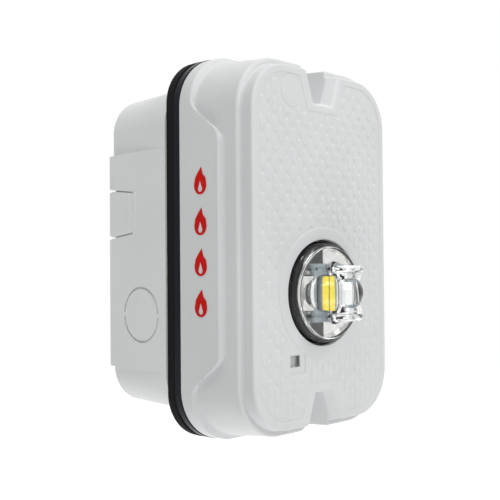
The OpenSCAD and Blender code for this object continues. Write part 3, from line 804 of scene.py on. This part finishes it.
def window_recess(shell, recess):
    floor = box_outline(*LEDGE, 0.45)
    hole = window_hole()
    shell.loft([lifted(recess, FIELD), lifted(floor, FIELD + 0.3)])
    shell.sheet(floor, [hole], FIELD + 0.3)
    shell.loft([lifted(hole, FIELD + 0.3), lifted(hole, WALL)])


def inner_outline(size, depth, flat=False):
    """The cover's outline inside, which keeps a wall under the notch."""
    floor_z = notch_floor_at(min(depth, CHANNEL_FLOOR)) - WALL
    return outline(size, CHANNEL_HALF + 2.5, floor_z, flat)


def border(inset):
    """A ring of the border, at a distance from the notch as well as from the plate's edge."""
    mouth = NOTCH_MOUTH + NOTCH_INSET * inset
    return outline(grown(PLATE, -inset), mouth, NOTCH_FLOOR_Z - inset, corner=1.6)


def front_housing():
    """The white cover as one closed shell: plate, shoulder, body, skirt, rim and inside."""
    shell = Shell()
    edge = border(BORDER + 0.35)
    plate_face(shell, edge)
    rings = [lifted(edge, FIELD)]
    rings.append(lifted(border(BORDER + 0.2), 0.12))
    rings.append(lifted(border(BORDER), 0.0))
    for turn in np.linspace(0, 90, 6):
        s, c = math.sin(math.radians(turn)), math.cos(math.radians(turn))
        inset, depth = PLATE_ROUND * (1 - s), PLATE_ROUND * (1 - c)
        size = grown(PLATE, -inset)
        mouth = mouth_at(depth) + NOTCH_INSET * inset
        rings.append(
            lifted(outline(size, mouth, notch_floor_at(depth) - inset), depth)
        )
    for grow, depth in ((0.1, 2.2), (0.15, 3.3), (0.2, 3.9), (0.32, 4.45), (0.75, 4.8)):
        rings.append(lifted(cover_ring(grown(PLATE, grow), depth), depth))
    for turn in np.linspace(0, 90, 7):
        s, c = math.sin(math.radians(turn)), math.cos(math.radians(turn))
        depth = 4.85 + SHOULDER_ROUND * (1 - c)
        size = grown(SHOULDER, -SHOULDER_ROUND * (1 - s))
        rings.append(lifted(cover_ring(size, depth), depth))
    depths = [7.5, 9.0, *np.arange(9.4, CHANNEL_FLOOR - 0.1, 0.4), CHANNEL_FLOOR]
    rings += [side_ring(d, False) for d in depths]
    shell.loft(rings)
    # behind the screw channels
    depths = [CHANNEL_FLOOR, *np.arange(24.5, 28.6, 0.4), 30.5, 32.55]
    rings = [side_ring(d, True) for d in depths]
    for inset, depth in ((0.13, 32.87), (0.45, 33.0)):
        size = grown(SKIRT_BACK, -inset)
        rings.append(lifted(outline(size, CHANNEL_HALF, CHANNEL_Z, True), depth))
    for size, depth in (
        (RIM_INSIDE, 33.0),
        (RIM_INSIDE, 27.6),
        (SHELF_INSIDE, 27.6),
        (SHELF_INSIDE, 26.4),
    ):
        rings.append(lifted(inner_outline(size, depth, True), depth))
    shell.loft(rings)
    # inside, in front of the channels' floor
    rings = [lifted(inner_outline(SHELF_INSIDE, d), d) for d in (26.4, 7.2)]
    under = inner_outline(FACE_INSIDE, WALL)
    rings += [lifted(inner_outline(FACE_INSIDE, 7.2), 7.2), lifted(under, WALL)]
    shell.loft(rings)
    shell.sheet(under, [circle(0, LENS_Z, OPENING_R), window_hole()], WALL)
    outer_a, outer_b = side_flat(False), side_flat(True)
    inner_a = inner_outline(SHELF_INSIDE, 26.4)
    inner_b = inner_outline(SHELF_INSIDE, 26.4, True)
    for span, sign in ((NOTCH_TOP, 1), (NOTCH_BOTTOM, -1)):
        cut = slice(span[0], span[1] + 1)
        hole = circle(0, sign * SCREW_Z, 2.1, 32)
        for a, b, depth in (
            (outer_a, outer_b, CHANNEL_FLOOR),
            (inner_a, inner_b, 26.4),
        ):
            around = np.concatenate([a[cut], b[cut][::-1][1:-1]])
            shell.sheet(around, [hole], depth)
        shell.loft([lifted(hole, CHANNEL_FLOOR), lifted(hole, 26.4)])
    obj = shell.build("cover_shell", 30)
    normals = obj.modifiers.new("weighted", "WEIGHTED_NORMAL")
    normals.keep_sharp = True
    obj.data.materials.append(white_cover)
    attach(obj, "head")
    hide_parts("front_housing")


def side_flat(flat):
    """The body's outline at the channel's floor, in X and Z."""
    points = np.array(side_ring(CHANNEL_FLOOR, flat)) / MM
    return points[:, [0, 2]]


front_housing()

# ---- materials and soft edges of the CAD nodes --------------------------------------

CAD_LOOKS = {
    "box_inserts": brass,
    "ground_bracket": steel,
    "ground_screw": green_paint,
    "plate_screws": steel,
    "screw_nuts": brass,
    "terminal_block": terminal_blue,
    "terminal_screws": steel,
    "terminal_jaws": brass,
    "lens_seal": charcoal,
    "frame_screws": steel,
    "led_board": board_dark,
    "heat_spreader": aluminium,
    "led_wires": red_wire,
    "main_board": circuit_board(),
    "capacitors": sleeve_dark,
    "choke": copper,
    "ic_chips": chip_black,
    "board_screws": steel,
    "horn_chamber": black_satin,
    "piezo_disc": brass,
    "horn_ring": black_satin,
    "contact_blades": brass,
    "cover_screws": steel,
    "tone_switch": switch_blue,
    "screw_seal_top": charcoal,
    "captive_screw_top": steel,
    "screw_seal_bottom": charcoal,
    "captive_screw_bottom": steel,
    "optic_frame": pale_frame,
    "led_emitters": phosphor_and_painted_glow(),
    "candela_window": clear_window,
    "back_box": white_box,
    "gasket": charcoal,
    "mounting_plate": black_gloss,
    "rear_cover": black_satin,
    "tone_dial": moulded("dial_plain", (0.75, 0.75, 0.72), 0.4),
    "candela_dial": dial_plastic(3.25),
    "fire_marks": red_print,
}
for node_name, look in CAD_LOOKS.items():
    paint_node(node_name, look)
# width of the rounding on the sharp edges of the larger CAD nodes
SOFTENED = {
    "back_box": 0.35,
    "gasket": 0.5,
    "mounting_plate": 0.45,
    "rear_cover": 0.25,
    "terminal_block": 0.2,
    "plate_screws": 0.15,
    "cover_screws": 0.12,
    "captive_screw_top": 0.15,
    "captive_screw_bottom": 0.15,
    "heat_spreader": 0.25,
    "optic_frame": 0.2,
    "led_emitters": 0.15,
    "ic_chips": 0.15,
    "tone_switch": 0.15,
    "tone_dial": 0.2,
    "ground_bracket": 0.12,
}
for node_name, width in SOFTENED.items():
    soften(nodes[node_name], width)

# ---- strobe lens -------------------------------------------------------------------


def barrel(name, outline, centre=-3.0, count=144):
    """A solid turned about an upright axis at x = 0 from (radius, height) pairs."""
    shell = Shell()
    turns = np.arange(count) * 2 * math.pi / count
    rings = [
        [at(r * math.cos(t), centre + r * math.sin(t), LENS_Z + z) for t in turns]
        for r, z in outline
    ]
    shell.loft(rings)
    shell.add(rings[0], [list(range(count))])
    shell.add(rings[-1], [list(range(count))])
    return shell.build(name)


def solid_block(name, x0, x1, d0, d1, z0, z1):
    """A plain block, used to cut or join."""
    shell = Shell()
    corners = [at(x, d, z) for x in (x0, x1) for d in (d0, d1) for z in (z0, z1)]
    faces = [(0, 1, 3, 2), (4, 5, 7, 6), (0, 1, 5, 4), (2, 3, 7, 6), (0, 2, 6, 4), (1, 3, 7, 5)]
    shell.add(corners, faces)
    return shell.build(name)


def dome_radius(z):
    """Radius of the lens's clear dome at a height above its middle."""
    return 12.5 * math.sqrt(max(0.0, 1 - (z / 8.2) ** 2))


def strobe_lens():
    """The clear lens: rim and face, dome with side lobes, visors, screw bosses and a hollow."""
    out = -3.6
    cover_part = revolve(
        "lens_cover",
        0,
        LENS_Z,
        [
            (0, out),
            (16.6, out),
            (17.1, out + 0.12),
            (17.5, out + 0.55),
            (17.85, out + 1.5),
            (18.25, out + 1.75),
            (18.6, -0.6),
            (18.95, -0.35),
            (19.5, 3.2),
            (22.8, 3.2),
            (22.8, 4.75),
            (18.4, 4.75),
            (17.6, 3.2),
            (17.0, out + 1.9),
            (16.7, out + 1.5),
            (16.2, out + 1.4),
            (0, out + 1.4),
        ],
    )
    heights = np.linspace(-6.4, 6.4, 29)
    body = barrel("lens_barrel", [(dome_radius(z), z) for z in heights])
    for sign in (1, -1):
        # clear visor over the front of the dome
        visor = barrel(
            "visor",
            [(11.6, 7.3), (12.1, 7.7), (12.3, 8.4), (12.1, 9.2), (11.6, 9.8), (10.9, 10.3)],
        )
        bridge = barrel("bridge", [(10.9, 4.2), (11.4, 5.6), (11.8, 7.0), (12.0, 8.2)])
        for part, front in ((visor, -11.0), (bridge, -11.8)):
            part.data.transform(Matrix.Translation((0, 0, -LENS_Z * MM)))
            part.data.transform(Matrix.Diagonal((1, 1, sign, 1)))
            part.data.transform(Matrix.Translation((0, 0, LENS_Z * MM)))
            if sign < 0:
                part.data.flip_normals()
            cut = solid_block("cut", -30, 30, front, 30, LENS_Z - 30, LENS_Z + 30)
            boolean(part, cut, "DIFFERENCE")
            boolean(body, part, "UNION")
        # clear boss over the frame's screw
        boss = revolve(
            "boss",
            0,
            LENS_Z + sign * 9.2,
            [(0, -6.4), (1.5, -6.4), (2.3, -6.1), (2.6, -5.5), (2.7, -3.0), (0, -3.0)],
            64,
        )
        boolean(body, boss, "UNION")
    back = solid_block("cut", -20, 20, 1.9, 30, LENS_Z - 30, LENS_Z + 30)
    boolean(body, back, "DIFFERENCE")
    # the middle stops in front of the frame; the side lobes reach back past it on a slant
    middle = Shell()
    profile = [(-8.7, -1.8), (8.7, -1.8), (12.7, 2.0), (12.7, 30), (-12.7, 30), (-12.7, 2.0)]
    rings = [[at(x, d, LENS_Z + z) for x, d in profile] for z in (-30, 30)]
    middle.loft(rings)
    middle.add(rings[0], [list(range(6))])
    middle.add(rings[1], [list(range(6))])
    boolean(body, middle.build("cut"), "DIFFERENCE")
    boolean(cover_part, body, "UNION")
    # hollow round the light source
    heights = np.linspace(-6.1, 6.1, 21)
    hollow = barrel(
        "hollow", [(6.5 * math.sqrt(1 - (z / 8.4) ** 2), z) for z in heights], -2.2
    )
    boolean(cover_part, hollow, "DIFFERENCE")
    cover_part.data.materials.clear()
    cover_part.data.materials.append(clear_lens)
    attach(cover_part, "head")
    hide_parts("lens")


def trough_depth(x):
    """Depth of the reflector's folded surface, from its rim at the side to the middle fold."""
    return -1.4 + 6.0 * (max(0.0, 16.6 - abs(x)) / 16.6) ** 1.25


def reflector_lobes():
    """Silvered trough with a fold down its middle, and a cheek behind each side lobe.

    It is open round the light source and its frame.
    """
    shell = Shell()
    radius = 16.6
    loop = circle(0, 0, radius, 180)
    flat = [Vector(p) for p in loop]
    edges = [(i, (i + 1) % len(loop)) for i in range(len(loop))]
    openings = [(6.4, 10.9), (13.2, 6.7)]
    for w, h in openings:
        start = len(flat)
        flat += [Vector(p) for p in ((-w, -h), (w, -h), (w, h), (-w, h))]
        edges += [(start + i, start + (i + 1) % 4) for i in range(4)]
    for x in np.linspace(-15, 15, 13):
        reach = math.sqrt(radius**2 - x**2) - 0.05
        edges.append((len(flat), len(flat) + 1))
        flat += [Vector((x, -reach)), Vector((x, reach))]
    out, _, faces, _, _, _ = delaunay_2d_cdt(flat, edges, [], 0, 1e-6)
    xz = np.array([tuple(p) for p in out])
    kept = []
    for f in faces:
        x, z = xz[list(f)].mean(0)
        if math.hypot(x, z) < radius and not any(
            abs(x) < w and abs(z) < h for w, h in openings
        ):
            kept.append(f)
    for back in (0.0, 0.5):
        shell.add([at(x, trough_depth(x) + back, LENS_Z + z) for x, z in xz], kept)

    def wall(r, add):
        return [at(x, trough_depth(x) + add, LENS_Z + z) for x, z in circle(0, 0, r, 180)]

    rings = [wall(radius, 0.0)]
    rings += [ring(0, LENS_Z, r, d, 180) for r, d in ((16.6, -1.4), (16.68, -1.5), (16.8, -1.4))]
    rings += [wall(16.8, 0.5), wall(radius, 0.5)]
    shell.loft(rings)
    for side in (-1, 1):
        # cheek behind the dome's side lobe
        steps = np.linspace(0, 1, 9)
        strip = [(8.9 + 3.9 * t, -1.5 + 3.6 * t - 0.5 * math.sin(math.pi * t)) for t in steps]
        front = [[at(side * x, d, LENS_Z + z) for z in (-6.4, 6.4)] for x, d in strip]
        back = [[at(side * x, d + 0.4, LENS_Z + z) for z in (-6.4, 6.4)] for x, d in strip]
        rings = [[f[0], f[1], g[1], g[0]] for f, g in zip(front, back)]
        shell.loft(rings)
        shell.add(rings[0], [(0, 1, 2, 3)])
        shell.add(rings[-1], [(0, 1, 2, 3)])
    obj = shell.build("reflector_bowl", 24)
    obj.data.materials.append(silvered())
    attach(obj, "head")
    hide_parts("reflector")


def strobe_shroud():
    """Black ring round the reflector with a fin above and below that divides its lobes."""
    obj = revolve(
        "shroud_ring",
        0,
        LENS_Z,
        [
            (16.85, -1.1),
            (16.95, -1.15),
            (17.05, 1.2),
            (17.3, 1.5),
            (17.35, 3.4),
            (17.75, 3.7),
            (17.8, 4.9),
            (22.6, 4.9),
            (22.8, 5.1),
            (22.8, 6.2),
            (22.6, 6.4),
            (16.85, 6.4),
        ],
    )
    for sign in (-1, 1):
        low, high = sorted((LENS_Z + sign * 11.0, LENS_Z + sign * 16.55))
        fin = solid_block("fin", -0.22, 0.22, 1.6, 5.0, low, high)
        boolean(obj, fin, "UNION")
    obj.data.materials.clear()
    obj.data.materials.append(black_satin)
    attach(obj, "head")
    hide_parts("shroud")


strobe_lens()
reflector_lobes()
strobe_shroud()

# ---- surroundings ------------------------------------------------------------------


# how brightly the floor's own white lights other things
FLOOR_GLOW = 0.12


def add_floor():
    """Plain pale floor, far below, that reads as clean white."""
    shell = Shell()
    side, z = 8000, -1200
    square = ((-side, -side), (side, -side), (side, side), (-side, side))
    shell.add([at(x, d, z) for x, d in square], [(0, 1, 2, 3)])
    floor = shell.build("floor")
    made, n, links, shader = material("floor_white", (0.62, 0.62, 0.62), 0.9)
    links.new(
        tint(n, links, noise(n, links, 3, 2), (0.61, 0.61, 0.61), (0.63, 0.63, 0.63)),
        shader.inputs["Base Color"],
    )
    seen = n.new("ShaderNodeLightPath")
    shader.inputs["Emission Color"].default_value = (1, 1, 1, 1)
    links.new(
        spread(n, links, seen.outputs["Is Diffuse Ray"], 1.0, FLOOR_GLOW),
        shader.inputs["Emission Strength"],
    )
    floor.data.materials.append(made)


def add_light(name, place, target, size, power):
    """A square area light that faces a target."""
    data = bpy.data.lights.new(name, "AREA")
    data.energy = power
    data.shape = "RECTANGLE"
    data.size = size
    data.size_y = size
    obj = bpy.data.objects.new(name, data)
    direction = Vector(target) - Vector(place)
    obj.matrix_world = Matrix.Translation(place) @ direction.to_track_quat(
        "-Z", "Y"
    ).to_matrix().to_4x4()
    scene.collection.objects.link(obj)


def add_world(strength):
    """White surroundings: clean white when seen or mirrored and dimmer as a source of light."""
    world = bpy.data.worlds.new("studio")
    world.use_nodes = True
    n, links = world.node_tree.nodes, world.node_tree.links
    background = n["Background"]
    background.inputs["Color"].default_value = (1, 1, 1, 1)
    seen = n.new("ShaderNodeLightPath")
    links.new(
        spread(n, links, seen.outputs["Is Diffuse Ray"], 1.0, strength),
        background.inputs["Strength"],
    )
    scene.world = world


add_floor()
add_world(0.36)
add_light("key", (0.3, -1.15, 0.75), (0, -0.04, 0), 0.6, 7.8)
add_light("top", (-0.35, -0.15, 1.2), (0, -0.04, 0), 0.7, 7.0)
add_light("low", (-0.35, -0.4, -1.0), (0, -0.04, 0), 0.8, 4.2)
scene.view_settings.view_transform = "Standard"
